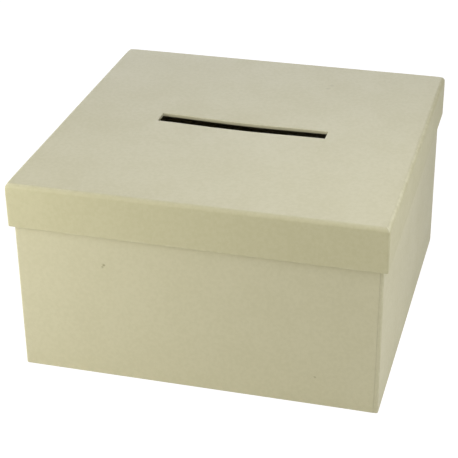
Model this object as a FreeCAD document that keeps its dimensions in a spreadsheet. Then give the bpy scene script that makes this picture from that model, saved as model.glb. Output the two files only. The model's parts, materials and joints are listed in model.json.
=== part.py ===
"""Wedding card box: a square box of grey board covered in pearl paper, with a card slot in its lift-off lid.

Millimetres, +Z up. The origin is at the middle of the underside, and the front faces -Y.
"""

import FreeCAD, Part
import math
import os
import Sketcher

# Driving sizes: alias, millimetres and what is measured
SIZES = (
    ("tray_width", 292.8, "tray over its cover paper, left to right"),
    ("tray_depth", 292.8, "tray over its cover paper, front to back"),
    ("tray_height", 162.7, "underside to the top of the tray's rim"),
    ("rim_height", 36.3, "lid's top face to the lower edge of its rim"),
    ("lid_clearance", 0.4, "play on each side between the tray and the lid's lining"),
    ("board", 2.5, "grey board"),
    ("paper", 0.25, "pearl cover paper with its glue"),
    ("lining", 0.2, "lining paper with its glue"),
    ("stay", 0.12, "paper tape round the corners of the boards"),
    ("stay_leg", 14, "stay tape on each side of a corner"),
    ("edge_radius", 1.5, "covered corners, and the edges of the lid's top"),
    ("slot_length", 144, "clear opening, left to right"),
    ("slot_width", 13, "clear opening, front to back"),
    ("slot_flap", 4, "cover paper turned under round the slot"),
    ("slot_reveal", 1.5, "lid's lining set back from the slot"),
    ("tray_turn_in", 20, "cover paper turned down inside the tray's rim"),
    ("tray_turn_under", 15, "cover paper turned under the tray"),
    ("lid_skirt", 12, "lid's lining turned down to the turned-in cover paper"),
    ("lid_lap", 4, "lid's lining pasted over the turned-in cover paper"),
    ("lining_margin", 4, "wall lining set down from the tray's rim"),
    ("lining_foot", 12, "wall lining turned onto the tray's floor"),
    ("floor_margin", 0.5, "floor lining set in from the wall lining"),
    ("bottom_margin", 3, "bottom sheet set in from the tray's edges"),
    ("seam_top", 2.5, "closing seam to the tray's front right corner, at the rim"),
    ("seam_foot", 3.6, "closing seam to the tray's front right corner, at the bottom"),
    ("seam_lap", 20, "width over which the lapped end of the paper lifts"),
    ("seam_lift", 0.15, "lapped end of the paper over the end below it"),
)

# Levels, worked out from the sizes
BOARD_FOOT = "(2 * sizes.paper)"
FLOOR_TOP = f"({BOARD_FOOT} + sizes.board)"
TRAY_RIM = "sizes.tray_height"
TURN_IN_FOOT = f"({TRAY_RIM} - sizes.tray_turn_in)"
LID_UNDERSIDE = f"({TRAY_RIM} + sizes.lining)"
LID_TOP = f"({LID_UNDERSIDE} + sizes.board + sizes.paper)"
LID_FOOT = f"({LID_TOP} - sizes.rim_height)"
TURN_IN_TOP = f"({LID_UNDERSIDE} - sizes.lid_skirt)"

# Rounding of the boards, which the paper's thickness brings to the edge radius
CORE_RADIUS = "(sizes.edge_radius - sizes.paper)"

# Two lengths are taken to be the same when they differ by less than this
SAME = 0.001


def inset(outline, amount):
    """The width and depth of a centred rectangle drawn in by an amount on every side."""
    return tuple(f"({side} - 2 * ({amount}))" for side in outline)


def outset(outline, amount):
    """The width and depth of a centred rectangle drawn out by an amount on every side."""
    return tuple(f"({side} + 2 * ({amount}))" for side in outline)


# Plan outlines, each a width and a depth centred on the box's axis
TRAY = ("sizes.tray_width", "sizes.tray_depth")
TRAY_CORE = inset(TRAY, "sizes.paper")
TRAY_INSIDE = inset(TRAY_CORE, "sizes.board")
TRAY_TURNED_IN = inset(TRAY_INSIDE, "sizes.paper")
LID_INSIDE = outset(TRAY, "sizes.lid_clearance + sizes.lining + sizes.paper")
LID_TURNED_IN = inset(LID_INSIDE, "sizes.paper")
LID_CORE = outset(LID_INSIDE, "sizes.board")
LID = outset(LID_CORE, "sizes.paper")
SLOT = ("sizes.slot_length", "sizes.slot_width")
SLOT_CUT = outset(SLOT, "sizes.paper")
SLOT_FLAP = outset(SLOT, "sizes.slot_flap")

doc = FreeCAD.newDocument("card_box")


def fill_sheet():
    """Puts the driving sizes into a spreadsheet, each under its alias."""
    sheet = doc.addObject("Spreadsheet::Sheet", "sizes")
    for row, (alias, value, note) in enumerate(SIZES, start=1):
        sheet.set(f"A{row}", note)
        sheet.set(f"B{row}", str(value))
        sheet.setAlias(f"B{row}", alias)
    doc.recompute()
    return sheet


sizes = fill_sheet()


def measure(expression):
    """The value of an expression in millimetres."""
    return float(sizes.evalExpression(expression))


# Sketches


def level_sketch(body, level):
    """An empty sketch on the body's own ground plane, raised to a level."""
    ground = next(plane for plane in body.Origin.OriginFeatures if plane.Role == "XY_Plane")
    sketch = body.newObject("Sketcher::SketchObject", "outline")
    sketch.AttachmentSupport = [(ground, "")]
    sketch.MapMode = "FlatFace"
    sketch.setExpression("AttachmentOffset.Base.z", level)
    return sketch


def draw_loop(sketch, corners):
    """Draws a closed run of lines through the corners and gives the index of its first line."""
    first = sketch.GeometryCount
    points = [FreeCAD.Vector(x, y, 0) for x, y in corners]
    count = len(points)
    for i in range(count):
        sketch.addGeometry(Part.LineSegment(points[i], points[(i + 1) % count]), False)
    for i in range(count):
        sketch.addConstraint(Sketcher.Constraint("Coincident", first + i, 2, first + (i + 1) % count, 1))
    return first


def span(sketch, direction, line, expression):
    """Sets a line's extent along X or Y to an expression."""
    geometry = sketch.Geometry[line]
    extent = geometry.EndPoint - geometry.StartPoint
    start, end = (1, 2) if extent.x + extent.y > 0 else (2, 1)
    rule = Sketcher.Constraint(f"Distance{direction}", line, start, line, end, measure(expression))
    sketch.setExpression(f"Constraints[{sketch.addConstraint(rule)}]", expression)


def draw_rectangle(sketch, outline):
    """Draws a rectangle centred on the sketch's origin."""
    width, depth = outline
    half_x = measure(width) / 2
    half_y = measure(depth) / 2
    first = draw_loop(sketch, [(-half_x, -half_y), (half_x, -half_y), (half_x, half_y), (-half_x, half_y)])
    for line, rule in enumerate(("Horizontal", "Vertical", "Horizontal", "Vertical")):
        sketch.addConstraint(Sketcher.Constraint(rule, first + line))
    sketch.addConstraint(Sketcher.Constraint("Symmetric", first, 1, first + 2, 1, -1, 1))
    span(sketch, "X", first, width)
    span(sketch, "Y", first + 1, depth)


# Features


def new_body(label):
    """An empty body whose label is its node's name."""
    body = doc.addObject("PartDesign::Body", label)
    body.Label = label
    return body


def add_layer(body, low, high, *outlines):
    """Adds a layer of the first outline between two levels. A second outline is its opening."""
    sketch = level_sketch(body, low)
    for outline in outlines:
        draw_rectangle(sketch, outline)
    pad = body.newObject("PartDesign::Pad", "layer")
    pad.Profile = sketch
    pad.setExpression("Length", f"{high} - {low}")
    doc.recompute()


def cut_layer(body, low, high, outline):
    """Cuts the outline out of the body between two levels."""
    before = body.Shape.Volume
    sketch = level_sketch(body, low)
    draw_rectangle(sketch, outline)
    pocket = body.newObject("PartDesign::Pocket", "hollow")
    pocket.Profile = sketch
    pocket.Reversed = True
    pocket.setExpression("Length", f"{high} - {low}")
    doc.recompute()
    if body.Shape.Volume > before - SAME:
        raise RuntimeError(f"{body.Label}: a cut took nothing away")


def round_edges(body, radius, chosen):
    """Rounds the edges of the body whose bounding box the test picks."""
    base = body.Tip
    names = [f"Edge{i}" for i, edge in enumerate(base.Shape.Edges, start=1) if chosen(edge.BoundBox)]
    fillet = body.newObject("PartDesign::Fillet", "rounding")
    fillet.Base = (base, names)
    fillet.setExpression("Radius", radius)
    doc.recompute()


def lies_at(box, level):
    """Whether an edge lies flat at a level."""
    return abs(box.ZMin - level) < SAME and abs(box.ZMax - level) < SAME


def lies_within(box, outline):
    """Whether an edge stays inside an outline in plan, its border included."""
    half_x = measure(outline[0]) / 2 + SAME
    half_y = measure(outline[1]) / 2 + SAME
    return max(-box.XMin, box.XMax) < half_x and max(-box.YMin, box.YMax) < half_y


def is_upright(box):
    """Whether an edge runs straight up."""
    return box.XLength < SAME and box.YLength < SAME


def place(body, x, y, z):
    """Moves a body to a place given by expressions."""
    for axis, expression in zip("xyz", (x, y, z)):
        body.setExpression(f"Placement.Base.{axis}", expression)


# Boards


def wall_boards(prefix, core, inside, low, high):
    """Four butted wall boards: front and back run the whole width, and the sides stand between them."""
    height = f"{high} - {low}"
    reach_x = f"({inside[0]} + sizes.board) / 2"
    reach_y = f"({inside[1]} + sizes.board) / 2"
    boards = []
    for side, sign in (("front", -1), ("back", 1)):
        body = new_body(f"{prefix}_{side}_board")
        add_layer(body, "0", height, (core[0], "sizes.board"))
        outer = sign * measure("sizes.board") / 2
        round_edges(body, CORE_RADIUS, lambda box: is_upright(box) and abs(box.YMax - outer) < SAME)
        place(body, "0", f"{sign} * {reach_y}", low)
        boards.append(body)
    for side, sign in (("left", -1), ("right", 1)):
        body = new_body(f"{prefix}_{side}_board")
        add_layer(body, "0", height, ("sizes.board", inside[1]))
        place(body, f"{sign} * {reach_x}", "0", low)
        boards.append(body)
    return boards


def tray_floor_board():
    """The tray's floor, inside its four walls."""
    body = new_body("tray_floor_board")
    add_layer(body, BOARD_FOOT, FLOOR_TOP, TRAY_INSIDE)
    return body


def lid_top_board():
    """The lid's top, which lies over its rim boards and has the slot cut through it."""
    body = new_body("lid_top_board")
    top = f"({LID_UNDERSIDE} + sizes.board)"
    add_layer(body, LID_UNDERSIDE, top, LID_CORE)
    underside = measure(LID_UNDERSIDE)
    round_edges(body, CORE_RADIUS, lambda box: not lies_at(box, underside))
    cut_layer(body, LID_UNDERSIDE, top, SLOT_CUT)
    return body


# Stay tape


def corner_stay(label, height):
    """A strip of paper tape folded round a back right corner of the boards, which is at the body's origin."""
    body = new_body(label)
    sketch = level_sketch(body, "0")
    leg = measure("sizes.stay_leg")
    tape = measure("sizes.stay")
    profile = [(-leg, 0), (0, 0), (0, -leg), (tape, -leg), (tape, tape), (-leg, tape)]
    first = draw_loop(sketch, profile)
    for line, rule in enumerate(("Horizontal", "Vertical") * 3):
        sketch.addConstraint(Sketcher.Constraint(rule, first + line))
    sketch.addConstraint(Sketcher.Constraint("Coincident", first, 2, -1, 1))
    span(sketch, "X", first, "sizes.stay_leg")
    span(sketch, "Y", first + 1, "sizes.stay_leg")
    span(sketch, "X", first + 2, "sizes.stay")
    span(sketch, "Y", first + 5, "sizes.stay")
    pad = body.newObject("PartDesign::Pad", "tape")
    pad.Profile = sketch
    pad.setExpression("Length", height)
    doc.recompute()
    round_edges(body, CORE_RADIUS, lambda box: is_upright(box) and abs(box.XMax) + abs(box.YMax) < SAME)
    round_edges(
        body,
        f"({CORE_RADIUS} + sizes.stay)",
        lambda box: is_upright(box) and abs(box.XMax - tape) + abs(box.YMax - tape) < SAME,
    )
    return body


def corner_stays(prefix, core, low, high):
    """Tapes round the four upright corners of the boards."""
    upward = FreeCAD.Vector(0, 0, 1)
    stays = []
    for row, sign_y in (("front", -1), ("back", 1)):
        for side, sign_x in (("left", -1), ("right", 1)):
            body = corner_stay(f"{prefix}_stay_{row}_{side}", f"{high} - {low}")
            turn = math.atan2(sign_y, sign_x) - math.atan2(1, 1)
            body.Placement.Rotation = FreeCAD.Rotation(upward, math.degrees(turn))
            place(body, f"{sign_x} * {core[0]} / 2", f"{sign_y} * {core[1]} / 2", low)
            stays.append(body)
    return stays


def press_onto(label, sheet, backing):
    """The cover sheet once the boards and tapes that it is pasted round are taken out of it."""
    core = doc.addObject("Part::MultiFuse", f"{label}_core")
    core.Shapes = backing
    wrap = doc.addObject("Part::Cut", label)
    wrap.Label = label
    wrap.Base = sheet
    wrap.Tool = core
    doc.recompute()
    return wrap


# Cover paper


def lap_seam(body):
    """The lapped end of the tray's paper, which lifts from the front face to its cut edge by the corner."""
    sections = []
    for level, seam in (("sizes.paper", "sizes.seam_foot"), (TRAY_RIM, "sizes.seam_top")):
        sketch = level_sketch(body, level)
        edge = measure(f"sizes.tray_width / 2 - {seam}")
        face = measure("-sizes.tray_depth / 2")
        lift = measure("sizes.seam_lift")
        start = edge - measure("sizes.seam_lap")
        first = draw_loop(sketch, [(start, face), (edge, face - lift), (edge, face)])
        sketch.addConstraint(Sketcher.Constraint("Vertical", first + 1))
        sketch.addConstraint(Sketcher.Constraint("Horizontal", first + 2))
        span(sketch, "Y", first + 1, "sizes.seam_lift")
        span(sketch, "X", first + 2, "sizes.seam_lap")
        across = sketch.addConstraint(Sketcher.Constraint("DistanceX", -1, 1, first + 2, 1, edge))
        sketch.setExpression(f"Constraints[{across}]", f"sizes.tray_width / 2 - {seam}")
        forward = sketch.addConstraint(Sketcher.Constraint("DistanceY", first + 2, 1, -1, 1, -face))
        sketch.setExpression(f"Constraints[{forward}]", "sizes.tray_depth / 2")
        sections.append(sketch)
    loft = body.newObject("PartDesign::AdditiveLoft", "lapped_end")
    loft.Profile = sections[0]
    loft.Sections = [sections[1]]
    loft.Ruled = True
    doc.recompute()


def tray_wrap(walls, stays):
    """One band of paper round the walls, turned in over the rim and turned under the bottom."""
    body = new_body("tray_sheet")
    foot = "sizes.paper"
    rim = measure(TRAY_RIM)
    bottom = measure(foot)
    add_layer(body, foot, TRAY_RIM, TRAY)
    round_edges(body, "sizes.edge_radius", is_upright)
    cut_layer(body, foot, BOARD_FOOT, inset(TRAY, "sizes.tray_turn_under"))
    cut_layer(body, BOARD_FOOT, TURN_IN_FOOT, TRAY_INSIDE)
    cut_layer(body, TURN_IN_FOOT, TRAY_RIM, TRAY_TURNED_IN)
    round_edges(body, "sizes.paper", lambda box: lies_at(box, rim))
    round_edges(body, "sizes.paper", lambda box: lies_at(box, bottom) and not lies_within(box, TRAY_CORE))
    lap_seam(body)
    return press_onto("tray_wrap", body, walls + stays)


def lid_wrap(boards, stays):
    """One sheet over the lid's top and rim, turned in at the rim's lower edge and down through the slot."""
    body = new_body("lid_sheet")
    flap_foot = f"({LID_UNDERSIDE} - sizes.paper)"
    foot = measure(LID_FOOT)
    mouth = (measure(LID_TOP), measure(flap_foot))
    add_layer(body, LID_FOOT, LID_TOP, LID)
    round_edges(body, "sizes.edge_radius", lambda box: not lies_at(box, foot))
    cut_layer(body, LID_FOOT, TURN_IN_TOP, LID_TURNED_IN)
    cut_layer(body, TURN_IN_TOP, LID_UNDERSIDE, LID_INSIDE)
    round_edges(body, "sizes.paper", lambda box: lies_at(box, foot))
    add_layer(body, flap_foot, LID_UNDERSIDE, SLOT_FLAP)
    cut_layer(body, flap_foot, LID_TOP, SLOT)
    round_edges(
        body,
        "sizes.paper",
        lambda box: lies_within(box, SLOT) and any(lies_at(box, level) for level in mouth),
    )
    return press_onto("lid_wrap", body, boards + stays)


def jogged_sheet(label, outer, middle, thickness, low, step, rises):
    """A flat sheet whose middle steps up or down past the turned edge that its border is pasted over."""
    body = new_body(label)
    high = f"({low} + {thickness})"
    add_layer(body, low, high, outer)
    if rises:
        add_layer(body, high, f"({high} + {step})", middle)
        cut_layer(body, low, f"({low} + {step})", inset(middle, thickness))
    else:
        add_layer(body, f"({low} - {step})", low, middle)
        cut_layer(body, f"({high} - {step})", high, inset(middle, thickness))
    return body


# Lining paper


def tray_wall_lining():
    """Lining round the inside of the walls, over the turned-in cover paper, with a foot on the floor."""
    body = new_body("tray_wall_lining")
    top = f"({TRAY_RIM} - sizes.lining_margin)"
    ledge = f"({TURN_IN_FOOT} - sizes.lining)"
    floor_skin = f"({FLOOR_TOP} + sizes.lining)"
    add_layer(body, FLOOR_TOP, TURN_IN_FOOT, TRAY_INSIDE)
    add_layer(body, TURN_IN_FOOT, top, TRAY_TURNED_IN)
    cut_layer(body, floor_skin, ledge, inset(TRAY_INSIDE, "sizes.lining"))
    cut_layer(body, ledge, top, inset(TRAY_TURNED_IN, "sizes.lining"))
    cut_layer(body, FLOOR_TOP, floor_skin, inset(TRAY_INSIDE, "sizes.lining_foot"))
    return body


def lid_lining():
    """Lining under the lid's top, stepped past the slot's flaps and turned down over the cover paper."""
    body = new_body("lid_lining")
    foot = f"({TURN_IN_TOP} - sizes.lid_lap)"
    ledge = f"({TURN_IN_TOP} + sizes.lining)"
    ceiling = f"({LID_UNDERSIDE} - sizes.lining)"
    flap_foot = f"({LID_UNDERSIDE} - sizes.paper)"
    add_layer(body, TURN_IN_TOP, LID_UNDERSIDE, LID_INSIDE)
    add_layer(body, foot, TURN_IN_TOP, LID_TURNED_IN)
    cut_layer(body, ledge, ceiling, inset(LID_INSIDE, "sizes.lining"))
    cut_layer(body, foot, ledge, inset(LID_TURNED_IN, "sizes.lining"))
    add_layer(body, f"({flap_foot} - sizes.lining)", ceiling, outset(SLOT_FLAP, "sizes.lining"))
    cut_layer(body, flap_foot, LID_UNDERSIDE, SLOT_FLAP)
    cut_layer(body, f"({flap_foot} - sizes.lining)", LID_UNDERSIDE, outset(SLOT, "sizes.slot_reveal"))
    return body


def check_and_write(pieces):
    """Stops on any failed object or bad solid, then writes one file for each piece."""
    doc.recompute()
    for thing in doc.Objects:
        if "Invalid" in thing.State or "Error" in thing.State:
            raise RuntimeError(f"{thing.Label}: {thing.State}")
    for piece in pieces:
        shape = piece.Shape
        if shape.isNull() or not shape.isValid() or len(shape.Solids) != 1:
            raise RuntimeError(f"{piece.Label} is not one valid solid")
    os.makedirs("parts", exist_ok=True)
    for piece in pieces:
        piece.Shape.exportStep(f"parts/{piece.Label}.step")
        print(f"{piece.Label}: {piece.Shape.Volume / 1000:.2f} cm3")


WALL_TOP = f"({TRAY_RIM} - sizes.paper)"
tray_floor = tray_floor_board()
tray_walls = wall_boards("tray", TRAY_CORE, TRAY_INSIDE, BOARD_FOOT, WALL_TOP)
tray_stays = corner_stays("tray", TRAY_CORE, BOARD_FOOT, WALL_TOP)
tray_papers = [
    tray_wrap(tray_walls, tray_stays),
    jogged_sheet(
        "tray_bottom_sheet",
        inset(TRAY, "sizes.bottom_margin"),
        inset(TRAY, "sizes.tray_turn_under"),
        "sizes.paper",
        "0",
        "sizes.paper",
        rises=True,
    ),
    tray_wall_lining(),
    jogged_sheet(
        "tray_floor_lining",
        inset(TRAY_INSIDE, "sizes.lining + sizes.floor_margin"),
        inset(TRAY_INSIDE, "sizes.lining_foot"),
        "sizes.lining",
        f"({FLOOR_TOP} + sizes.lining)",
        "sizes.lining",
        rises=False,
    ),
]

RIM_FOOT = f"({LID_FOOT} + sizes.paper)"
lid_boards = [lid_top_board()]
lid_boards += wall_boards("lid", LID_CORE, LID_INSIDE, RIM_FOOT, LID_UNDERSIDE)
lid_stays = corner_stays("lid", LID_CORE, RIM_FOOT, LID_UNDERSIDE)
lid_papers = [lid_wrap(lid_boards, lid_stays), lid_lining()]

check_and_write([tray_floor] + tray_walls + tray_stays + tray_papers + lid_boards + lid_stays + lid_papers)
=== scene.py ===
# %% [markdown]
# # A wedding card box in pearl paper
#
# The real box is grey board, cut into panels, taped at the corners and covered with ivory pearl paper.
# A lid with a long slot lifts straight off. The imported model gives the panels, the papers and the one joint,
# so this lesson only adds what a photographer would notice: soft folds, a panel that sags at its slot,
# a lapped seam, and paper that is never quite even in tone.
#
# The model comes in first, as a fixed frame. Its box is kept, and places the floor and the lamps.

# %% Load the frame
import json
import math

import bmesh
import bpy
import numpy as np
from mathutils import Matrix, Vector, noise


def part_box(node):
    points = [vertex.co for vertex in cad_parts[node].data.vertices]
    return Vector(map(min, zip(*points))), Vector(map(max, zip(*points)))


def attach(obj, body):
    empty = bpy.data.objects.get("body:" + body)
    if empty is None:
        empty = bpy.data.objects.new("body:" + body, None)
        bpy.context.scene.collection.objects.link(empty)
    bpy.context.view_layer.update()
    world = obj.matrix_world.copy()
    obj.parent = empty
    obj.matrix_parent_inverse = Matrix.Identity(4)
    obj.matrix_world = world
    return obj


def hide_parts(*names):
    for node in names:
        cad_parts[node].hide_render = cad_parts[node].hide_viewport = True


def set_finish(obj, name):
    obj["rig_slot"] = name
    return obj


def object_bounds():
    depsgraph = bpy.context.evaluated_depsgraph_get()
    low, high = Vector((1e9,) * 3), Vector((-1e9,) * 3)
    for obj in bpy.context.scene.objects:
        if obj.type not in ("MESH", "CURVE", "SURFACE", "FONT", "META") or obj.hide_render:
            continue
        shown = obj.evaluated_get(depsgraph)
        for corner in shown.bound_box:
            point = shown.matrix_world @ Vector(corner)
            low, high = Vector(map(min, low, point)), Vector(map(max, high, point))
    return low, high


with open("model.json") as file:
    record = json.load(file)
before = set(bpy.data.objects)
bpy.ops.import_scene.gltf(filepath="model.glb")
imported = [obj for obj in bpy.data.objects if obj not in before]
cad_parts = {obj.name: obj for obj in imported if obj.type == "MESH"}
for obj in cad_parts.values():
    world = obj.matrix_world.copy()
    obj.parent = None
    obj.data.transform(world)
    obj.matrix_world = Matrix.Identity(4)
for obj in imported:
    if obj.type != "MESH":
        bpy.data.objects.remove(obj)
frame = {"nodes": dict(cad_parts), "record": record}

cad_low, cad_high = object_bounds()
print("box of the model in mm:", [round(1000 * size, 2) for size in cad_high - cad_low])

# %% [markdown]
# ## Sizes
#
# The main sizes are read off the frame, so that the papers fit the boards if the box is ever made larger.
# The slot has no node of its own, but no point of the lid's cover lies nearer to the middle than the
# slot's corners do.

# %% Sizes from the frame
MM = 0.001
lid_low, lid_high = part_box("lid_wrap")
panel_low, panel_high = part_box("lid_top_board")
rim_low, rim_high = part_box("lid_right_board")
tray_low, tray_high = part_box("tray_wrap")
lining_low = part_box("lid_lining")[0]
paper = lid_high.z - panel_high.z
board = rim_high.x - rim_low.x
wall = board + 2 * paper
cover_corners = np.array([corner.co for corner in frame["nodes"]["lid_wrap"].data.vertices])
slot_x, slot_y = np.abs(cover_corners[:, :2]).min(axis=0)
print("paper", round(paper / MM, 3), "board", round(board / MM, 3), "slot", slot_x / MM * 2, slot_y / MM * 2)

# %% [markdown]
# ## How paper and board move
#
# Board that has a long slot cut in it bends a little along the slot, and a covered wall is never quite flat.
# A shader could fake that, but then the slot's edges would stay ruler-straight, so the points move.
# The sag is nothing at the rim, where the walls hold the panel, so that the lid still closes on the tray.

# %% The sag of the lid's panel
SAG_PANEL = 0.4 * MM
SAG_SLOT = 0.95 * MM
SAG_REACH_X = slot_x + 8 * MM
SAG_REACH_Y = 35 * MM
SAG_HELD = lid_high.x - 10 * MM


def panel_sag(x, y):
    """How far the lid's panel hangs at one place."""
    held_x = max(0, 1 - (x / SAG_HELD) ** 2)
    held_y = max(0, 1 - (y / SAG_HELD) ** 2)
    along = math.cos(min(1, abs(x) / SAG_REACH_X) * math.pi / 2) ** 2
    across = math.exp(-((y / SAG_REACH_Y) ** 2))
    return SAG_PANEL * (held_x * held_y) ** 2 + SAG_SLOT * along * across


print("sag at the slot's middle and end in mm:", panel_sag(0, 0) / MM, panel_sag(slot_x, 0) / MM)

# %% The slot as it was cut
SLOT_BACK = 0.4 * MM
SLOT_SLOPE = 0.0125
SLOT_WIDER = 0.5 * MM
SLOT_TAPER = 0.012
SLOT_NEAR = 25 * MM
SLOT_CRUSH = 0.2 * MM
CRUSH_REACH = 12 * MM


def cut_slot(place):
    """Moves a point near the slot to where a hand-set blade cut, and presses the board thinner at the cut."""
    away = max(abs(place.x) - slot_x, abs(place.y) - slot_y, 0)
    near = max(0, 1 - away / SLOT_NEAR)
    wider = SLOT_WIDER * max(-1, min(1, place.y / slot_y))
    taper = SLOT_TAPER * (slot_x - place.x) * max(0, min(1, place.y / slot_y))
    place.y += near * (SLOT_BACK - SLOT_SLOPE * place.x + wider + taper)
    middle = (panel_low.z + panel_high.z) / 2
    under = min(1, max(0, (middle - place.z) / (middle - panel_low.z)))
    place.z += SLOT_CRUSH * under * max(0, 1 - away / CRUSH_REACH)


cut_end = Vector((-slot_x, slot_y, lid_high.z))
cut_slot(cut_end)
print("the slot's back left corner moves back by in mm:", (cut_end.y - slot_y) / MM)

# %% The blunt corners of the lid
BLUNT = 1.1 * MM
BLUNT_REACH = 9 * MM


def blunt_corner(place):
    """Pushes a point in, away from the nearest upper corner of the lid, if it is close to that corner."""
    corner = Vector((math.copysign(lid_high.x, place.x), math.copysign(lid_high.y, place.y), lid_high.z))
    near = max(0, 1 - (place - corner).length / BLUNT_REACH) ** 2
    outward = Vector((math.copysign(1, place.x), math.copysign(1, place.y), 1)).normalized()
    place -= outward * BLUNT * near


blunted = lid_high.copy()
blunt_corner(blunted)
print("a corner of the lid loses in mm:", (lid_high - blunted).length / MM)

# %% Waves in pasted paper
WAVES = ((70 * MM, 0.11 * MM), (18 * MM, 0.03 * MM))


def paper_wave(place):
    """How far pasted paper stands out from a true plane at one place."""
    return sum(height * noise.noise(place / length) for length, height in WAVES)


print("wave at two places in mm:", paper_wave(lid_high) / MM, paper_wave(tray_high) / MM)

# %% [markdown]
# ## A cover sheet as rows of points
#
# A cover is one sheet of paper that runs over an edge, down a wall, round the lower edge and up inside.
# Cut through a wall, that is one line, and the same line goes round all four walls. So the sheet is made from
# rows: each row is the outline of the box pushed out or in by some amount, at some height. At the corners the
# outline turns in a small fan, which makes them round. Where a row lies inside the box the fan shuts.

# %% Lines along a side
SUPPORT = 0.6 * MM
FADE = 3 * MM
CELL = 6 * MM


def side_lines(half):
    """Places along one side of the box, closer together by its two ends."""
    inner = half - FADE
    count = round(2 * inner / CELL)
    middle = [inner * (2 * step / count - 1) for step in range(count + 1)]
    return [-half, SUPPORT - half] + middle + [half - SUPPORT, half]


def height_lines(low, high):
    """Heights up one wall, closer together by its two edges."""
    middle = (low + high) / 2
    return [middle + line for line in side_lines((high - low) / 2)]


print("lines along the lid:", len(side_lines(lid_high.x)))

# %% The outline and its rows
TURNS = 6
FOLD_STEPS = 4


def outline(front, right, back, left):
    """Points round a rectangle with the way each one faces; every side is a list of places along it."""
    sides = (
        ([(x, front[1]) for x in front[0]], -90),
        ([(right[1], y) for y in right[0]], 0),
        ([(x, back[1]) for x in reversed(back[0])], 90),
        ([(left[1], y) for y in reversed(left[0])], 180),
    )
    places, facing = [], []
    for side, turn in sides:
        fan = [side[-1]] * (TURNS - 1)
        places += side + fan
        facing += [turn] * len(side) + [turn + 90 * (step + 1) / TURNS for step in range(TURNS - 1)]
    angles = np.radians(facing)
    return np.array(places), np.column_stack((np.cos(angles), np.sin(angles)))


def row(ring, out, height):
    """The outline pushed out by some amount, or in if that is negative, at one height."""
    places, facing = ring
    pushed = places + out * facing
    if out < 0:
        limit = np.abs(places).max(axis=0) + out
        pushed = np.clip(pushed, -limit, limit)
    return np.column_stack((pushed, np.full(len(pushed), height)))


def fold(start, finish, steps=FOLD_STEPS, flat=1.0):
    """A quarter turn between two (out, height) points, level at the first; flat > 1 cuts its corner."""
    across, fall = finish[0] - start[0], finish[1] - start[1]
    turn = []
    for step in range(steps):
        angle = math.pi / 2 * step / steps
        out = start[0] + across * math.sin(angle) ** flat
        turn.append((out, start[1] + fall * (1 - math.cos(angle) ** flat)))
    return turn + [finish]


def fold_back(start, finish):
    """A quarter turn that leaves the first point upright and reaches the last one level."""
    return list(reversed(fold(finish, start)))


print("a fold has", len(fold((0, 1), (1, 0))), "points")

# %% From rows to a piece
WELD = 0.002 * MM
SLIVER = 0.001 * MM


def add_rows(bm, rows, wear_and_highlight):
    """Puts rows of points into the mesh, with faces between neighbours, and gives each point one number for
    its rub and painted highlight.
    """
    layer = bm.verts.layers.float["wear_and_highlight"]
    made = []
    for points, worn_and_lit in zip(rows, wear_and_highlight):
        line = [bm.verts.new(point) for point in points]
        for corner, value in zip(line, worn_and_lit):
            corner[layer] = value
        made.append(line)
    for upper, lower in zip(made, made[1:]):
        for step in range(len(upper)):
            following = (step + 1) % len(upper)
            bm.faces.new((upper[step], lower[step], lower[following], upper[following]))


def new_sheet():
    """An empty mesh that remembers each point's rub and painted highlight, and how far it is down a lid's rim,
    which sets the rim's painted shade.
    """
    bm = bmesh.new()
    bm.verts.layers.float.new("wear_and_highlight")
    bm.verts.layers.float.new("rim")
    return bm


def to_piece(bm, name, body, node, slot):
    """Welds the mesh, turns it into an object on its body, hides the node it stands for and gives it a slot.
    """
    bmesh.ops.remove_doubles(bm, verts=bm.verts, dist=WELD)
    bmesh.ops.dissolve_degenerate(bm, edges=bm.edges, dist=SLIVER)
    bmesh.ops.recalc_face_normals(bm, faces=bm.faces)
    for face in bm.faces:
        face.smooth = True
    mesh = bpy.data.meshes.new(name)
    bm.to_mesh(mesh)
    bm.free()
    piece = bpy.data.objects.new(name, mesh)
    bpy.context.scene.collection.objects.link(piece)
    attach(piece, body)
    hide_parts(node)
    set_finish(piece, slot)
    print(name, "has", len(mesh.polygons), "faces")
    return piece


print("points nearer than", WELD / MM, "mm are welded")

# %% [markdown]
# ## The lid's cover
#
# One sheet of pearl paper covers the lid's top and rim. Its lower edge is turned in, and in the slot the
# paper is cut, folded down over the board's raw edge and stuck underneath. The top is a grid with a hole,
# because the sag needs points all over it. The rim and the slot's flaps are rows that start on the grid's
# edges. A Solidify modifier then gives the sheet its thickness, towards the board.

# %% The lid's top
TOP_RADIUS = 3.0 * MM
TOP_FLAT = 1.25
CORNER_RADIUS = 1.5 * MM
CREASE = 0.45 * MM
SLOT_CREASE = 0.4 * MM
LINE_GAP = 1.5 * MM
MOUTH_SUPPORT = 3 * MM
lid_flat = lid_high.x - TOP_RADIUS
mouth_x, mouth_y = slot_x + SLOT_CREASE, slot_y + SLOT_CREASE


def lines_through(half, *marks):
    """Lines along a side that also pass through some marks, with no other line too close to a mark."""
    wanted = [sign * mark for mark in marks for sign in (-1, 1)]
    kept = [line for line in side_lines(half) if min(abs(line - mark) for mark in wanted) > LINE_GAP]
    return sorted(kept + wanted)


top_x = lines_through(lid_flat, mouth_x, mouth_x + MOUTH_SUPPORT)
top_y = lines_through(lid_flat, mouth_y, mouth_y + MOUTH_SUPPORT)
lid_sheet = new_sheet()
grid = [[lid_sheet.verts.new((x, y, lid_high.z)) for x in top_x] for y in top_y]
for low_line, high_line, y0, y1 in zip(grid, grid[1:], top_y, top_y[1:]):
    for step in range(len(top_x) - 1):
        if abs(top_x[step] + top_x[step + 1]) / 2 < mouth_x and abs(y0 + y1) / 2 < mouth_y:
            continue
        lid_sheet.faces.new((low_line[step], low_line[step + 1], high_line[step + 1], high_line[step]))
loose = [corner for corner in lid_sheet.verts if not corner.link_faces]
bmesh.ops.delete(lid_sheet, geom=loose, context="VERTS")
print("the lid's top has", len(lid_sheet.faces), "cells")

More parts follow.
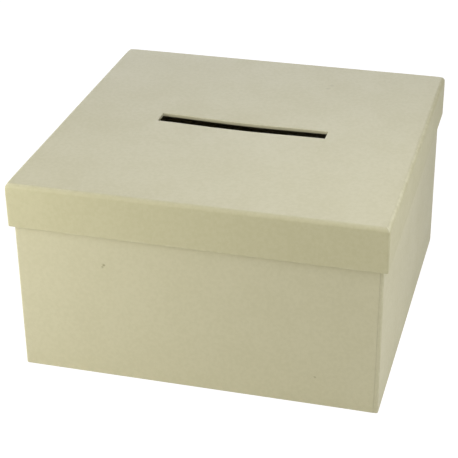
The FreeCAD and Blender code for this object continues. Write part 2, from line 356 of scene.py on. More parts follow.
# %% The lid's rim, with its edge turned in
LINING_LAP = 4 * MM
TOP_STEPS = 8
lid_foot = lid_low.z
turn_in_top = lining_low.z + LINING_LAP
lid_core = lid_high.x - CORNER_RADIUS
ring_x = [-lid_core] + top_x + [lid_core]
ring_y = [-lid_core] + top_y + [lid_core]
lid_ring = outline((ring_x, -lid_core), (ring_y, lid_core), (ring_x, lid_core), (ring_y, -lid_core))
rim_inside = CORNER_RADIUS - wall
rim_shoulder = lid_high.z - TOP_RADIUS
rim_profile = fold((lid_flat - lid_core, lid_high.z), (CORNER_RADIUS, rim_shoulder), TOP_STEPS, TOP_FLAT)
rim_lines = height_lines(lid_foot + CREASE, rim_shoulder)
rim_profile += [(CORNER_RADIUS, z) for z in reversed(rim_lines)][1:]
rim_profile += fold_back((CORNER_RADIUS, lid_foot + CREASE), (CORNER_RADIUS - CREASE, lid_foot))[1:]
rim_profile += fold((rim_inside + CREASE, lid_foot), (rim_inside, lid_foot + CREASE))
rim_profile += [(rim_inside, z) for z in height_lines(lid_foot + CREASE, turn_in_top)][1:]
print("the rim's profile has", len(rim_profile), "points")

# %% [markdown]
# ### Where hands have rubbed the lid, and where its folds get painted highlights
#
# Folds and corners are where paper is rubbed pale. A mask could be painted by hand, but the rows already
# know where each fold is, so every point gets a number for its rub and painted highlight, from 0 to about 1.
# On this lid the pale band is narrow along three folds and least at the right of the front; along the front
# it is also a painted highlight, where the key lamp catches the fold from the left. Along the right fold it is
# wide and faint, and there it is a painted highlight where the fold mirrors the room behind.

# %% How rubbed the lid's folds are, and their painted highlights
STRAIGHT = 0.999
FOLD_WEAR_AND_HIGHLIGHT = 0.5
FOLD_FADE = 1.2 * FADE
# The next five set painted highlights: the front fold paler at its left, where the key lamp catches it, and
# the right fold paler all along, where it mirrors the room behind.
FRONT_LESS = 0.1
FRONT_RIGHT_LESS = 0.2
RIGHT_FOLD_HIGHLIGHT = 0.66
RIGHT_HIGHLIGHT_BACK_LESS = 0.12
RIGHT_HIGHLIGHT_FADE = 2 * FADE
CORNER_WEAR = 0.4
CORNER_FOLD_WEAR = 0.8
EDGE_WEAR = 0.6


def corner_wear(ring):
    """1 where an outline turns a corner and 0 along its sides."""
    facing = ring[1]
    return np.where(np.abs(facing).max(axis=1) < STRAIGHT, 1.0, 0.0)


def edge_band(profile, edge, fade=FADE):
    """1 on a folded edge of a profile, fading to 0 a little way from it."""
    return np.array([max(0.0, 1 - math.hypot(out - edge[0], z - edge[1]) / fade) for out, z in profile])


places, facing = lid_ring
rightward = np.maximum(0, facing[:, 0])
frontward = np.maximum(0, -facing[:, 1])
# Painted highlight along the front fold, strongest at its left, and a wide painted highlight along the right
# fold.
front_less = FRONT_LESS + FRONT_RIGHT_LESS * places[:, 0] / lid_core
side_wear_and_highlight = FOLD_WEAR_AND_HIGHLIGHT - FOLD_WEAR_AND_HIGHLIGHT * rightward - front_less * frontward
right_fold_highlight = rightward * (RIGHT_FOLD_HIGHLIGHT - RIGHT_HIGHLIGHT_BACK_LESS * places[:, 1] / lid_core)
around = corner_wear(lid_ring)
top_fold_band = edge_band(rim_profile, rim_profile[2], FOLD_FADE)
right_highlight_band = edge_band(rim_profile, rim_profile[3], RIGHT_HIGHLIGHT_FADE)
foot_worn = edge_band(rim_profile, (CORNER_RADIUS, lid_foot))
rim_wear_and_highlight = []
for upper, beside, lower in zip(top_fold_band, right_highlight_band, foot_worn):
    sides = np.maximum(side_wear_and_highlight * upper, right_fold_highlight * beside)
    corners = around * (CORNER_WEAR + CORNER_FOLD_WEAR * upper)
    rim_wear_and_highlight.append(np.maximum(np.maximum(corners, sides), EDGE_WEAR * lower))
add_rows(lid_sheet, [row(lid_ring, *p) for p in rim_profile], rim_wear_and_highlight)
print("most worn point of the rim:", max(worn_and_lit.max() for worn_and_lit in rim_wear_and_highlight))

# %% The slot's flaps
FLAP = 4 * MM
NEARLY = 1e-9
mouth_lines_x = [x for x in top_x if abs(x) <= mouth_x + NEARLY]
mouth_lines_y = [y for y in top_y if abs(y) <= mouth_y + NEARLY]
mouth_ring = outline(
    (mouth_lines_x, -mouth_y), (mouth_lines_y, mouth_x), (mouth_lines_x, mouth_y), (mouth_lines_y, -mouth_x)
)
flap_level = panel_low.z - paper
flap_profile = fold((0, lid_high.z), (-SLOT_CREASE, lid_high.z - SLOT_CREASE))
flap_profile += [(-SLOT_CREASE, (lid_high.z + flap_level) / 2)]
flap_profile += fold_back((-SLOT_CREASE, flap_level + SLOT_CREASE), (0, flap_level))
flap_profile += [(FLAP - SLOT_CREASE, flap_level)]
flap_worn = edge_band(flap_profile, flap_profile[2])
rows = [row(mouth_ring, *p) for p in flap_profile]
add_rows(lid_sheet, rows, [np.full(len(rows[0]), EDGE_WEAR * w) for w in flap_worn])
print("the slot's flaps have", len(rows), "rows")

# %% Lean, blunt, cut and sag
RIM_LEAN = 0.2 * MM
RIM_MARGIN = 0.5 * MM
CLOSE = 0.1 * MM


def lean_in(place):
    """Pulls the foot of the rim in a little, as paste does when it dries inside a deep lid."""
    share = min(1, max(0, (rim_shoulder - place.z) / (rim_shoulder - lid_foot)))
    for axis in (0, 1):
        outside = abs(place[axis]) > lid_core + rim_inside - RIM_MARGIN
        place[axis] -= math.copysign(RIM_LEAN * share, place[axis]) if outside else 0


# Painted shade: a number that is 0 on the top and rises through the fold to 1 down the rim, where the cover is
# painted a shade deeper for the light that falls less on it.
rim_shade_layer = lid_sheet.verts.layers.float["rim"]
for corner in lid_sheet.verts:
    outside = max(abs(corner.co.x), abs(corner.co.y)) > lid_flat - CLOSE
    above = max(0.0, 1 - (lid_high.z - corner.co.z) / TOP_RADIUS)
    corner[rim_shade_layer] = math.sqrt(1 - above ** 2) if outside else 0.0
    lean_in(corner.co)
    blunt_corner(corner.co)
    cut_slot(corner.co)
    corner.co.z -= panel_sag(corner.co.x, corner.co.y) if corner.co.z > flap_level - CLOSE else 0
lid_cover = to_piece(lid_sheet, "lid_cover", "lid", "lid_wrap", "pearl_paper")

# %% Waves and thickness
TAPED = 16 * MM
TAPE_HOLDS = 0.3
PAPER_LEFT = 0.9


def add_waves(piece, low, high):
    """Moves the points on the outside of a cover a little in and out, but not where tape backs a corner."""
    reach = max(corner.co.x for corner in piece.data.vertices)
    for corner in piece.data.vertices:
        near, far = sorted((abs(corner.co.x), abs(corner.co.y)))
        on_top = corner.co.z > lid_high.z - TOP_RADIUS
        if low <= corner.co.z <= high and (on_top or far > reach - paper):
            free = 1.0 if on_top else min(1.0, max(0.0, (reach - near) / TAPED - TAPE_HOLDS))
            corner.co += corner.normal * paper_wave(corner.co) * free


def give_thickness(piece, thickness):
    """A Solidify modifier that thickens a sheet towards its back."""
    solid = piece.modifiers.new("paper thickness", "SOLIDIFY")
    solid.thickness = thickness
    solid.offset = -1
    solid.use_even_offset = True


add_waves(lid_cover, lid_foot + CREASE, lid_high.z)
give_thickness(lid_cover, paper * PAPER_LEFT)
print("the paper on the lid is", paper * PAPER_LEFT / MM, "mm thick")

# %% [markdown]
# ## The lid's panel, lining, rim boards and tapes
#
# Under the cover lie the slotted panel and, inside the lid, a lining paper set back round the slot. They
# follow the same sag. Their nodes already have the right shape, but too few points to bend, so each piece
# starts as a copy of its node's mesh that is cut along a grid of planes, and then sags. The rim's boards
# and tapes are copies too, which lean and blunt with the cover, or they would show through it.

# %% Copies that can bend
BEND_CELL = 12 * MM
PANEL_TRIM = 2.6 * MM
HANGS_ABOVE = panel_low.z - 2 * MM


def bent_copy(node, name, slot, trim=0.0, moves=()):
    """A copy of a node's mesh, trimmed at its border, cut into cells and hung with the lid's panel."""
    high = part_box(node)[1]
    bm = bmesh.new()
    bm.from_mesh(frame["nodes"][node].data)
    bmesh.ops.remove_doubles(bm, verts=bm.verts, dist=WELD)
    count = round(2 * high.x / BEND_CELL)
    for axis in (Vector((1, 0, 0)), Vector((0, 1, 0))):
        for step in range(1, count):
            place = axis * (high.x * (2 * step / count - 1))
            geometry = bm.verts[:] + bm.edges[:] + bm.faces[:]
            bmesh.ops.bisect_plane(bm, geom=geometry, plane_co=place, plane_no=axis, dist=SLIVER)
    for corner in bm.verts:
        for axis in (0, 1):
            border = max(0, abs(corner.co[axis]) - high.x + 2 * trim) / (2 * trim) if trim else 0
            corner.co[axis] -= math.copysign(min(1, border) * trim, corner.co[axis])
        for move in (*moves, blunt_corner, cut_slot):
            move(corner.co)
        if corner.co.z > HANGS_ABOVE:
            corner.co.z -= panel_sag(corner.co.x, corner.co.y)
    piece = to_piece(bm, name, "lid", node, slot)
    piece.data.shade_flat()
    return piece


lid_panel = bent_copy("lid_top_board", "lid_panel", "grey_board", trim=PANEL_TRIM)
lid_lining_paper = bent_copy("lid_lining", "lid_lining_paper", "lining_paper", moves=(lean_in,))

# %% Copies of boards and tapes
SIDES = ("front", "back", "left", "right")


def settled_copy(node, body, slot, *moves):
    """A copy of a node's mesh, with its points moved one after another."""
    bm = bmesh.new()
    bm.from_mesh(frame["nodes"][node].data)
    for corner in bm.verts:
        for move in moves:
            move(corner.co)
    piece = to_piece(bm, "settled_" + node, body, node, slot)
    piece.data.shade_flat()
    return piece


def tapes(body):
    """The names of a body's corner tapes."""
    return [node for node in sorted(frame["nodes"]) if node.startswith(body + "_stay_")]


lid_pieces = [lid_cover, lid_panel, lid_lining_paper]
rim_moves = (lean_in, blunt_corner)
lid_pieces += [settled_copy(f"lid_{side}_board", "lid", "grey_board", *rim_moves) for side in SIDES]
lid_pieces += [settled_copy(node, "lid", "stay_tape", *rim_moves) for node in tapes("lid")]
print("pieces of the lid:", len(lid_pieces))

# %% [markdown]
# ## The tray's cover
#
# The tray's four walls wear one long band of paper, turned in over the rim and under the bottom. Its end
# laps over its start by the front right corner, on a line that isn't quite upright. Past that line the
# paper underneath falls back to the corner, which is why a narrow strip there looks darker. Rows make this
# sheet too. Some of the front's lines follow the seam, so that its edge is a real step.

# %% The seam's lines
SEAM_TOP = 2.5 * MM
SEAM_FOOT = 3.6 * MM
SEAM_LIFT = 0.22 * MM
SEAM_LAP = 20 * MM
SEAM_FALL = 0.07 * MM
SEAM_STEPS = (20, 15, 10, 6, 3, 1.5, 0.6, 0.06, 0, -0.4)
SEAM_CLEAR = 2 * MM
TRAY_RADIUS = 1.5 * MM
tray_half = tray_high.x
tray_flat = tray_half - TRAY_RADIUS
seam_x = tray_half - SEAM_TOP
seam_lines = [seam_x - step * MM for step in SEAM_STEPS]
tray_lines = side_lines(tray_flat)
front_lines = [x for x in tray_lines if x < seam_lines[0] - SEAM_CLEAR] + seam_lines + [tray_flat]
print("the seam is", round((tray_half - seam_x) / MM, 2), "mm from the corner at the rim")

# %% The tray's rows
TURN_IN = 20 * MM
TURN_UNDER = 15 * MM
FOOT_CREASE = 0.6 * MM
FOOT_SUPPORT = 3 * MM
tray_foot = tray_low.z
tray_rim = tray_high.z
turn_in_foot = tray_rim - TURN_IN
tray_inside = TRAY_RADIUS - wall
tray_ring = outline(
    (front_lines, -tray_flat), (tray_lines, tray_flat), (tray_lines, tray_flat), (tray_lines, -tray_flat)
)
tray_profile = [(tray_inside, z) for z in height_lines(turn_in_foot, tray_rim - CREASE)]
tray_profile += fold_back((tray_inside, tray_rim - CREASE), (tray_inside + CREASE, tray_rim))[1:]
tray_profile += fold((TRAY_RADIUS - CREASE, tray_rim), (TRAY_RADIUS, tray_rim - CREASE))
wall_lines = height_lines(tray_foot + FOOT_CREASE, tray_rim - CREASE)
tray_profile += [(TRAY_RADIUS, z) for z in reversed(wall_lines)][1:]
tray_profile += fold_back((TRAY_RADIUS, tray_foot + FOOT_CREASE), (TRAY_RADIUS - FOOT_CREASE, tray_foot))[1:]
tray_profile += [(TRAY_RADIUS - FOOT_SUPPORT, tray_foot), (TRAY_RADIUS - TURN_UNDER, tray_foot)]
print("the tray's profile has", len(tray_profile), "points")

# %% The tray's band, with its seam
TRAY_CORNER_WEAR = 0.5
WAVE_FOOT = 2 * MM
WAVE_RIM = 4 * MM


def seam_row(out, height):
    """One row of the tray's cover, with the lapped end lifted and the strip beyond it falling back."""
    points = row(tray_ring, out, height)
    slant = (SEAM_FOOT - SEAM_TOP) * (1 - height / tray_rim)
    if out < TRAY_RADIUS - FOOT_CREASE:
        return points
    for step, x in enumerate(front_lines):
        lap = min(1, max(0, (x - seam_lines[0]) / SEAM_LAP))
        beyond = min(1, max(0, (x - seam_x) / (tray_flat - seam_x)))
        if x < seam_x:
            points[step, 0] -= slant * lap
            points[step, 1] -= SEAM_LIFT * lap
        else:
            points[step, 0] -= slant * (1 - beyond)
            points[step, 1] += SEAM_FALL * beyond
    for step in range(1, TURNS):
        points[len(front_lines) - 1 + step, 1] += SEAM_FALL * (1 - step / TURNS)
    return points


tray_sheet = new_sheet()
edges = (TRAY_RADIUS, tray_rim), (TRAY_RADIUS, tray_foot)
tray_worn = sum(edge_band(tray_profile, edge) for edge in edges)
around = corner_wear(tray_ring)
rows = [seam_row(*p) for p in tray_profile]
add_rows(tray_sheet, rows, [np.maximum(around * TRAY_CORNER_WEAR, EDGE_WEAR * w) for w in tray_worn])
tray_cover = to_piece(tray_sheet, "tray_cover", "tray", "tray_wrap", "pearl_paper")
add_waves(tray_cover, tray_foot + WAVE_FOOT, lid_foot - WAVE_RIM)
give_thickness(tray_cover, paper * PAPER_LEFT)

# %% [markdown]
# ## How the lid sits on the tray
#
# The walls of a glued tray are never all of one height, so its lid sits a little lower at one corner. Here
# that is the front right, where the rim was also cut a millimetre deeper. Turning the whole lid would leave
# gaps, so its points move, and the tray's walls are stretched or pressed by the same amount, most at the
# rim and not at all at the foot. The lid then still rests on them.
#
# A slanting plane is given by its height in the middle and its slopes to the right and to the back.

# %% Set the lid down
TOP_DROP = (0.2 * MM, -0.0023, 0.0021)
FOOT_DROP = (-0.37 * MM, -0.0038, 0.0048)
LID_WIDER = 0.5 * MM


def drop(place, plane):
    """How far a slanting plane lies above or below its true height at one place."""
    return plane[0] + plane[1] * place.x + plane[2] * place.y


def settle_lid(place):
    """Moves a point of the lid to where the lid sits; the lid's left side also bulges a little."""
    share = max(0, (place.z - lid_foot) / (lid_high.z - lid_foot))
    place.z += share * drop(place, TOP_DROP) + (1 - share) * drop(place, FOOT_DROP)
    place.x += LID_WIDER * min(0, place.x / lid_high.x)


def settle_tray(place):
    """Moves a point of a wall in step with the lid that rests on it."""
    place.z += drop(place, TOP_DROP) * max(0, place.z / tray_rim)


tray_pieces = [settled_copy(f"tray_{side}_board", "tray", "grey_board") for side in SIDES]
tray_pieces += [settled_copy(node, "tray", "stay_tape") for node in tapes("tray")]
tray_pieces += [settled_copy("tray_wall_lining", "tray", "lining_paper"), tray_cover]
for pieces, settle in ((lid_pieces, settle_lid), (tray_pieces, settle_tray)):
    for piece in pieces:
        for corner in piece.data.vertices:
            settle(corner.co)
print("the lid's front right sits off by in mm:", drop(Vector((lid_high.x, lid_low.y, 0)), TOP_DROP) / MM)

# %% [markdown]
# ## Finishes
#
# Paper and board are never one flat colour. Some effects come back again and again, so each is a node group
# that is built once: soft clouds and fibres, the pale look of a fold, rubbed and with a painted highlight, the
# flecks of recycled pulp, and a small mark. Colours are given as a maker would read them off a swatch, in
# screen values from 0 to 255.

# %% Helpers for nodes
def swatch(red, green, blue):
    """A screen colour as the linear colour that Blender works in."""
    def linear(value):
        share = value / 255
        return share / 12.92 if share <= 0.04045 else ((share + 0.055) / 1.055) ** 2.4
    return (linear(red), linear(green), linear(blue), 1.0)


def new_group(name, inputs, outputs):
    """A node group with number inputs, a place input and number outputs."""
    group = bpy.data.node_groups.new(name, "ShaderNodeTree")
    group.interface.new_socket("Place", in_out="INPUT", socket_type="NodeSocketVector")
    for title, value in inputs:
        socket = group.interface.new_socket(title, in_out="INPUT", socket_type="NodeSocketFloat")
        socket.default_value = value
    for title in outputs:
        group.interface.new_socket(title, in_out="OUTPUT", socket_type="NodeSocketFloat")
    return group, group.nodes.new("NodeGroupInput"), group.nodes.new("NodeGroupOutput")


def add_noise(tree, place, scale, detail, rough=0.5):
    """A noise texture; scale may be a number or a socket."""
    node = tree.nodes.new("ShaderNodeTexNoise")
    node.inputs["Detail"].default_value = detail
    node.inputs["Roughness"].default_value = rough
    tree.links.new(place, node.inputs["Vector"])
    if isinstance(scale, (int, float)):
        node.inputs["Scale"].default_value = scale
    else:
        tree.links.new(scale, node.inputs["Scale"])
    return node.outputs[0]


def add_math(tree, operation, *values):
    """A math node on numbers and sockets."""
    node = tree.nodes.new("ShaderNodeMath")
    node.operation = operation
    for socket, value in zip(node.inputs, values):
        if isinstance(value, (int, float)):
            socket.default_value = value
        else:
            tree.links.new(value, socket)
    return node.outputs[0]


def add_range(tree, value, low, high, to_low, to_high):
    """Maps a value from one range to another, smoothly and with stops at the ends."""
    node = tree.nodes.new("ShaderNodeMapRange")
    node.interpolation_type = "SMOOTHSTEP"
    tree.links.new(value, node.inputs["Value"])
    for socket, number in zip(node.inputs[1:5], (low, high, to_low, to_high)):
        socket.default_value = number
    return node.outputs[0]


print("mid grey as a linear colour:", swatch(128, 128, 128))

# %% Group: clouds and fibres
FIBRES_IN_TONE = 0.75
FIBRES_IN_RELIEF = 0.6


def fibres_and_clouds(fibre_share):
    """Fibres and clouds added up, the fibres by their share and the clouds by the rest."""
    rest = add_math(clouds, "MULTIPLY", broad, 1 - fibre_share)
    return add_math(clouds, "MULTIPLY_ADD", fibre, fibre_share, rest)


clouds, arrive, leave = new_group("paper clouds", [("Clouds", 40.0), ("Fibres", 900.0)], ["Tone", "Relief"])
broad = add_noise(clouds, arrive.outputs["Place"], arrive.outputs["Clouds"], detail=2.0, rough=0.5)
fibre = add_noise(clouds, arrive.outputs["Place"], arrive.outputs["Fibres"], detail=2.0, rough=0.6)
blend = fibres_and_clouds(FIBRES_IN_TONE)
clouds.links.new(add_range(clouds, blend, 0.34, 0.66, 0.0, 1.0), leave.inputs["Tone"])
clouds.links.new(fibres_and_clouds(FIBRES_IN_RELIEF), leave.inputs["Relief"])
print("group", clouds.name, "puts out", [socket.name for socket in leave.inputs if socket.name])

# %% Group: rubbed folds with painted highlights
SCUFF_SPREAD = 0.9
PALE_STARTS = 0.35
PALE_FULL = 1.15
# Paler folds: rub, and painted highlights where a fold catches the light.
rub_and_highlight, arrive, leave = new_group("rubbed and highlighted folds", [("Edge", 0.0), ("Scuffs", 160.0)], ["Rubbed"])
scuff = add_noise(rub_and_highlight, arrive.outputs["Place"], arrive.outputs["Scuffs"], detail=4.0, rough=0.65)
uneven = add_math(rub_and_highlight, "MULTIPLY_ADD", scuff, SCUFF_SPREAD, -SCUFF_SPREAD / 2)
edge = add_math(rub_and_highlight, "ADD", arrive.outputs["Edge"], uneven)
rub_and_highlight.links.new(add_range(rub_and_highlight, edge, PALE_STARTS, PALE_FULL, 0.0, 1.0), leave.inputs["Rubbed"])
print("group", rub_and_highlight.name, "made")

# %% Group: flecks in pulp
flecks, arrive, leave = new_group("pulp flecks", [("Flecks", 700.0), ("Share", 0.1)], ["Fleck"])
cells = flecks.nodes.new("ShaderNodeTexVoronoi")
flecks.links.new(arrive.outputs["Place"], cells.inputs["Vector"])
flecks.links.new(arrive.outputs["Flecks"], cells.inputs["Scale"])
chosen = add_noise(flecks, arrive.outputs["Place"], arrive.outputs["Flecks"], detail=1.0)
allowed = add_math(flecks, "MULTIPLY", chosen, arrive.outputs["Share"])
near = add_math(flecks, "SUBTRACT", allowed, cells.outputs["Distance"])
flecks.links.new(add_range(flecks, near, -0.1, 0.05, 0.0, 1.0), leave.inputs["Fleck"])
print("group", flecks.name, "made")

# %% Group: a small mark
MARK_GRAIN = 900.0
MARK_RAGGED = 1.2
MARK_FULL = 0.9
MARK_ENDS = 1.6
mark_inputs = [("X", 0.0), ("Y", 0.0), ("Z", 0.0), ("Size", 0.002), ("Depth", 1.0)]
mark, arrive, leave = new_group("small mark", mark_inputs, ["Mark"])
centre = mark.nodes.new("ShaderNodeCombineXYZ")
for axis in "XYZ":
    mark.links.new(arrive.outputs[axis], centre.inputs[axis])
apart = mark.nodes.new("ShaderNodeVectorMath")
apart.operation = "DISTANCE"
mark.links.new(arrive.outputs["Place"], apart.inputs[0])
mark.links.new(centre.outputs[0], apart.inputs[1])
grain = add_noise(mark, arrive.outputs["Place"], MARK_GRAIN, detail=2.0)
ragged = add_math(mark, "MULTIPLY", grain, MARK_RAGGED)
sizes_away = add_math(mark, "DIVIDE", apart.outputs["Value"], arrive.outputs["Size"])
reach = add_math(mark, "ADD", sizes_away, ragged)
inside = add_range(mark, reach, MARK_FULL, MARK_ENDS, 1.0, 0.0)
mark.links.new(add_math(mark, "MULTIPLY", inside, arrive.outputs["Depth"]), leave.inputs["Mark"])
print("group", mark.name, "made")

# %% Helpers for finishes
def new_finish(name):
    """A material with its shader and the place of each point on the box."""
    finish = bpy.data.materials.new(name)
    finish.use_nodes = True
    tree = finish.node_tree
    shader = tree.nodes["Principled BSDF"]
    place = tree.nodes.new("ShaderNodeTexCoord").outputs["Object"]
    return finish, tree, shader, place


def use_group(tree, group, place, **values):
    """Places a group in a finish and sets its inputs."""
    node = tree.nodes.new("ShaderNodeGroup")
    node.node_tree = group
    tree.links.new(place, node.inputs["Place"])
    for title, value in values.items():
        if isinstance(value, (int, float)):
            node.inputs[title].default_value = value
        else:
            tree.links.new(value, node.inputs[title])
    return node


def mix_colours(tree, share, first, second):
    """Mixes two colours, which may be swatches or sockets, by a share that varies over the surface."""
    node = tree.nodes.new("ShaderNodeMix")
    node.data_type = "RGBA"
    tree.links.new(share, node.inputs["Factor"])
    # A Mix node has sockets for numbers, vectors and colours; 6, 7 and output 2 are the colours.
    for socket, colour in zip((node.inputs[6], node.inputs[7]), (first, second)):
        if isinstance(colour, tuple):
            socket.default_value = colour
        else:
            tree.links.new(colour, socket)
    return node.outputs[2]


def add_relief(tree, shader, height, depth, strength):
    """Lets a height shape the light on the surface."""
    node = tree.nodes.new("ShaderNodeBump")
    node.inputs["Strength"].default_value = strength
    node.inputs["Distance"].default_value = depth
    tree.links.new(height, node.inputs["Height"])
    tree.links.new(node.outputs["Normal"], shader.inputs["Normal"])


print("groups to use:", sorted(group.name for group in (clouds, rub_and_highlight, flecks, mark)))

# %% [markdown]
# ### Pearl paper
#
# The cover paper is ivory with fine mica in its coating. Seen low across the top it shows more of the pale
# room, and the shader's own gloss does that, so the colour isn't painted by angle. The rim and the fold under
# the top's edge are painted a shade deeper than the top, a painted shade for the light that falls less there,
# and a number on each point of the lid's cover carries that. The tone drifts a little from place to place, the
# folds are rubbed paler and carry painted highlights, and a used box has a few small marks. Each mark is given
# by its place and size in mm and by how dark it is.

# %% Pearl paper
IVORY = swatch(206, 200, 165)
IVORY_DEEP = swatch(202, 196, 160)
# Painted shade: the rim's ivory, a little deeper than the top's.
IVORY_RIM_SHADED = swatch(200, 194, 155)
IVORY_RIM_SHADED_DEEP = swatch(196, 190, 150)
# The pale of rubbed folds, also used for their painted highlights.
IVORY_RUB_AND_HIGHLIGHT = swatch(233, 228, 196)
IVORY_MARK = swatch(150, 142, 104)
PEARL_DULL = 0.58
PEARL_BRIGHT = 0.5
MARKS = (
    (-73.6, -146.4, 102.6, 1.7, 0.8),
    (-74.8, -146.4, 100.6, 1.4, 0.5),
    (96.0, -146.4, 26.0, 1.3, 0.5),
    (53.2, 96.5, 165.6, 2.6, 0.2),
    (55.0, 104.0, 165.6, 3.0, 0.15),
)
pearl, tree, shader, place = new_finish("pearl_paper")
paper_tone = use_group(tree, clouds, place, Clouds=32.0, Fibres=330.0)
# A number on each point mixes in the pale folds: rub, and painted highlights on the front and right folds.
worn_and_lit = tree.nodes.new("ShaderNodeAttribute")
worn_and_lit.attribute_name = "wear_and_highlight"
folds = use_group(tree, rub_and_highlight, place, Edge=worn_and_lit.outputs["Fac"], Scuffs=150.0)
# The rim number mixes in the rim's painted shade.
rim_shade_share = tree.nodes.new("ShaderNodeAttribute")
rim_shade_share.attribute_name = "rim"
plain_ivory = mix_colours(tree, paper_tone.outputs["Tone"], IVORY_DEEP, IVORY)
shaded_rim_ivory = mix_colours(tree, paper_tone.outputs["Tone"], IVORY_RIM_SHADED_DEEP, IVORY_RIM_SHADED)
colour = mix_colours(tree, rim_shade_share.outputs["Fac"], plain_ivory, shaded_rim_ivory)
colour = mix_colours(tree, folds.outputs["Rubbed"], colour, IVORY_RUB_AND_HIGHLIGHT)
for x, y, z, size, depth in MARKS:
    spot = use_group(tree, mark, place, X=x * MM, Y=y * MM, Z=z * MM, Size=size * MM, Depth=depth)
    colour = mix_colours(tree, spot.outputs["Mark"], colour, IVORY_MARK)
tree.links.new(colour, shader.inputs["Base Color"])
gloss = add_range(tree, paper_tone.outputs["Relief"], 0.3, 0.7, PEARL_DULL, PEARL_BRIGHT)
tree.links.new(gloss, shader.inputs["Roughness"])
shader.inputs["Specular IOR Level"].default_value = 0.32
add_relief(tree, shader, paper_tone.outputs["Relief"], depth=0.15 * MM, strength=0.25)
print("finish", pearl.name, "has", len(tree.nodes), "nodes")

# %% [markdown]
# ### Lining paper, grey board and stay tape
#
# The lining is plain uncoated paper. Grey board is pressed from waste paper and full of flecks. The tape is
# kraft. The last two only show if the box is taken apart, but they are finished too, by one function,
# because they are the same pulp in other colours.

# %% Lining paper
LINING = swatch(212, 203, 178)
LINING_DEEP = swatch(203, 193, 167)
lining, tree, shader, place = new_finish("lining_paper")
lining_tone = use_group(tree, clouds, place, Clouds=55.0, Fibres=700.0)
colour = mix_colours(tree, lining_tone.outputs["Tone"], LINING_DEEP, LINING)
tree.links.new(colour, shader.inputs["Base Color"])
shader.inputs["Roughness"].default_value = 0.85
shader.inputs["Specular IOR Level"].default_value = 0.3
add_relief(tree, shader, lining_tone.outputs["Relief"], depth=0.12 * MM, strength=0.3)
print("finish", lining.name, "has", len(tree.nodes), "nodes")


# %% Grey board and stay tape
def pulp_finish(name, pale, deep, speck, fleck_scale):
    """Uncoated pulp: clouds of tone with flecks in it."""
    finish, tree, shader, place = new_finish(name)
    tone = use_group(tree, clouds, place, Clouds=80.0, Fibres=500.0)
    spots = use_group(tree, flecks, place, Flecks=fleck_scale, Share=0.5)
    colour = mix_colours(tree, tone.outputs["Tone"], deep, pale)
    colour = mix_colours(tree, spots.outputs["Fleck"], colour, speck)
    tree.links.new(colour, shader.inputs["Base Color"])
    shader.inputs["Roughness"].default_value = 0.9
    add_relief(tree, shader, tone.outputs["Relief"], depth=0.2 * MM, strength=0.4)
    print("finish", name, "has", len(tree.nodes), "nodes")
    return finish


grey = pulp_finish(
    "grey_board",
    pale=swatch(150, 145, 134),
    deep=swatch(128, 123, 112),
    speck=swatch(92, 88, 84),
    fleck_scale=600.0,
)
kraft = pulp_finish(
    "stay_tape",
    pale=swatch(193, 160, 118),
    deep=swatch(178, 144, 102),
    speck=swatch(146, 112, 74),
    fleck_scale=800.0,
)

# %% [markdown]
# ## Which piece wears which finish
#
# The record names a material slot for every node, so the nodes are dressed in one loop. The new pieces carry
# the same slots. Nothing is moved.

# %% Dress the pieces
FINISHES = {"pearl_paper": pearl, "lining_paper": lining, "grey_board": grey, "stay_tape": kraft}


def dress(piece, slot):
    """Gives a piece its one finish."""
    piece.data.materials.clear()
    piece.data.materials.append(FINISHES[slot])


for subpart in frame["record"]["subparts"]:
    dress(frame["nodes"][subpart["node"]], subpart["material_slot"])
for piece in lid_pieces + tray_pieces:
    dress(piece, piece["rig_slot"])
print("dressed", len(frame["nodes"]), "nodes and", len(lid_pieces + tray_pieces), "new pieces")

# %% [markdown]
# ## Floor and room
#
# The box stands on a plain white sheet. To the camera the sheet and the room are white, and the sheet keeps
# a soft shadow by the box. For the light that reaches the box they are ordinary pale surfaces, so nothing
# is over-lit. The Light Path node tells the two apart, and mirror-like rays see what the camera sees.

# %% Rays that see the white room
def seen_directly(tree):
    """1 for rays from the camera, from gloss and through glass, and 0 for other light."""
    path = tree.nodes.new("ShaderNodeLightPath")
    both = add_math(tree, "MAXIMUM", path.outputs["Is Camera Ray"], path.outputs["Is Glossy Ray"])
    return add_math(tree, "MAXIMUM", both, path.outputs["Is Transmission Ray"])


print("white is what camera, glossy and transmission rays see")

# %% The floor
FLOOR_HALF = 4.0
FLOOR_GAP = 0.02 * MM
FLOOR_GLOW = 0.93
FLOOR_SHADE = (0.2, 0.2, 0.2, 1)
FLOOR_PALE = (0.8, 0.8, 0.8, 1)
floor_mesh = bpy.data.meshes.new("floor")
bm = bmesh.new()
bmesh.ops.create_grid(bm, x_segments=8, y_segments=8, size=FLOOR_HALF)
bm.to_mesh(floor_mesh)
bm.free()
floor = bpy.data.objects.new("floor", floor_mesh)
bpy.context.scene.collection.objects.link(floor)
floor.location.z = cad_low.z - FLOOR_GAP

floor_paint = bpy.data.materials.new("floor_paint")
floor_paint.use_nodes = True
tree = floor_paint.node_tree
tree.nodes.remove(tree.nodes["Principled BSDF"])
glow = tree.nodes.new("ShaderNodeEmission")
glow.inputs["Strength"].default_value = FLOOR_GLOW
shade = tree.nodes.new("ShaderNodeBsdfDiffuse")
shade.inputs["Color"].default_value = FLOOR_SHADE
pale = tree.nodes.new("ShaderNodeBsdfDiffuse")
pale.inputs["Color"].default_value = FLOOR_PALE
white = tree.nodes.new("ShaderNodeAddShader")
tree.links.new(glow.outputs[0], white.inputs[0])
tree.links.new(shade.outputs[0], white.inputs[1])
choice = tree.nodes.new("ShaderNodeMixShader")
tree.links.new(seen_directly(tree), choice.inputs[0])
tree.links.new(pale.outputs[0], choice.inputs[1])
tree.links.new(white.outputs[0], choice.inputs[2])
tree.links.new(choice.outputs[0], tree.nodes["Material Output"].inputs["Surface"])
floor_mesh.materials.append(floor_paint)
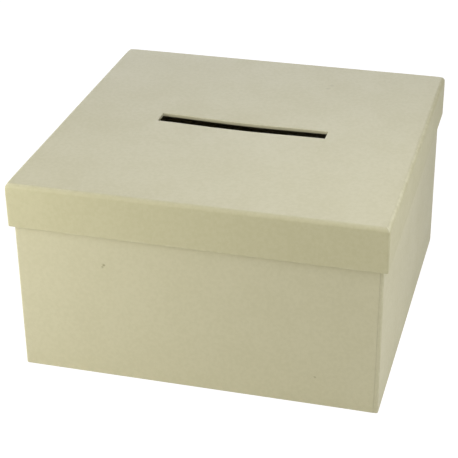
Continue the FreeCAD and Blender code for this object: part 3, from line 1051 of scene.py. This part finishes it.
print("floor at", floor.location.z)

# %% The room
ROOM_LIGHT = 0.297
world = bpy.data.worlds.new("room")
bpy.context.scene.world = world
world.use_nodes = True
tree = world.node_tree
backdrop = tree.nodes["Background"]
backdrop.inputs["Color"].default_value = (1, 1, 1, 1)
tree.links.new(add_range(tree, seen_directly(tree), 0.0, 1.0, ROOM_LIGHT, 1.0), backdrop.inputs["Strength"])
print("room light", ROOM_LIGHT)

# %% [markdown]
# ## Lamps
#
# The photograph's light is soft. The front is brightest on its left, the top is brightest at its front
# right, and a cool light from behind glances off the top. Four large area lamps give that: a key at the
# front left, a fill high on the right, a low one for the right side and a wide one behind.
# A lamp's power is named by how bright it makes a white card at the box.

# %% Soft boxes
def direction(azimuth, elevation):
    """The way from the box to something round it; azimuth 0 is in front and 90 is on the right."""
    turn, rise = math.radians(azimuth), math.radians(elevation)
    return Vector((math.sin(turn) * math.cos(rise), -math.cos(turn) * math.cos(rise), math.sin(rise)))


def soft_box(name, azimuth, elevation, distance, size, level, tint=(1, 1, 1)):
    """A square area lamp that makes a white card at the box about as bright as level."""
    light = bpy.data.lights.new(name, "AREA")
    light.shape = "SQUARE"
    light.size = size
    light.color = tint
    light.energy = level * math.pi * math.pi * distance ** 2
    lamp = bpy.data.objects.new(name, light)
    lamp.location = Vector((0, 0, cad_high.z / 2)) + direction(azimuth, elevation) * distance
    lamp.rotation_mode = "QUATERNION"
    lamp.rotation_quaternion = direction(azimuth, elevation).to_track_quat("Z", "Y")
    bpy.context.scene.collection.objects.link(lamp)
    print(name, "level", level)


COOL = (0.97, 0.99, 1.1)
COOLER = (0.95, 0.98, 1.12)
soft_box("key_lamp", azimuth=-48, elevation=18, distance=0.71, size=0.5, level=0.585)
soft_box("fill_lamp", azimuth=55, elevation=58.5, distance=0.5, size=0.4, level=0.327, tint=COOL)
soft_box("side_lamp", azimuth=69, elevation=5, distance=0.51, size=0.4, level=0.21)
soft_box("back_lamp", azimuth=-164, elevation=20, distance=1.3, size=0.9, level=0.32, tint=COOLER)

# %% [markdown]
# ## Camera
#
# The straight edges of the box in the photograph fix where the camera stood: low enough to see the front
# well, a little to the right, and with a long lens.

# %% Camera
AIM = Vector((0, -44.73 * MM, 91.37 * MM))
DISTANCE = 1167.36 * MM
AZIMUTH = 15.529
ELEVATION = 28.181
ROLL = math.radians(-0.695)
LENS = 110.13
SENSOR = 36.0
back = direction(AZIMUTH, ELEVATION)
camera_data = bpy.data.cameras.new("camera")
camera_data.lens = LENS
camera_data.sensor_width = SENSOR
camera_data.clip_start = 0.05
camera_data.clip_end = 50
camera = bpy.data.objects.new("camera", camera_data)
camera.rotation_mode = "QUATERNION"
turn = (-back).to_track_quat("-Z", "Y").to_matrix() @ Matrix.Rotation(ROLL, 3, "Z")
camera.rotation_quaternion = turn.to_quaternion()
camera.location = AIM + back * DISTANCE
bpy.context.scene.collection.objects.link(camera)
bpy.context.scene.camera = camera
bpy.context.scene.view_settings.view_transform = "Standard"
print("camera at", [round(value, 4) for value in camera.location])
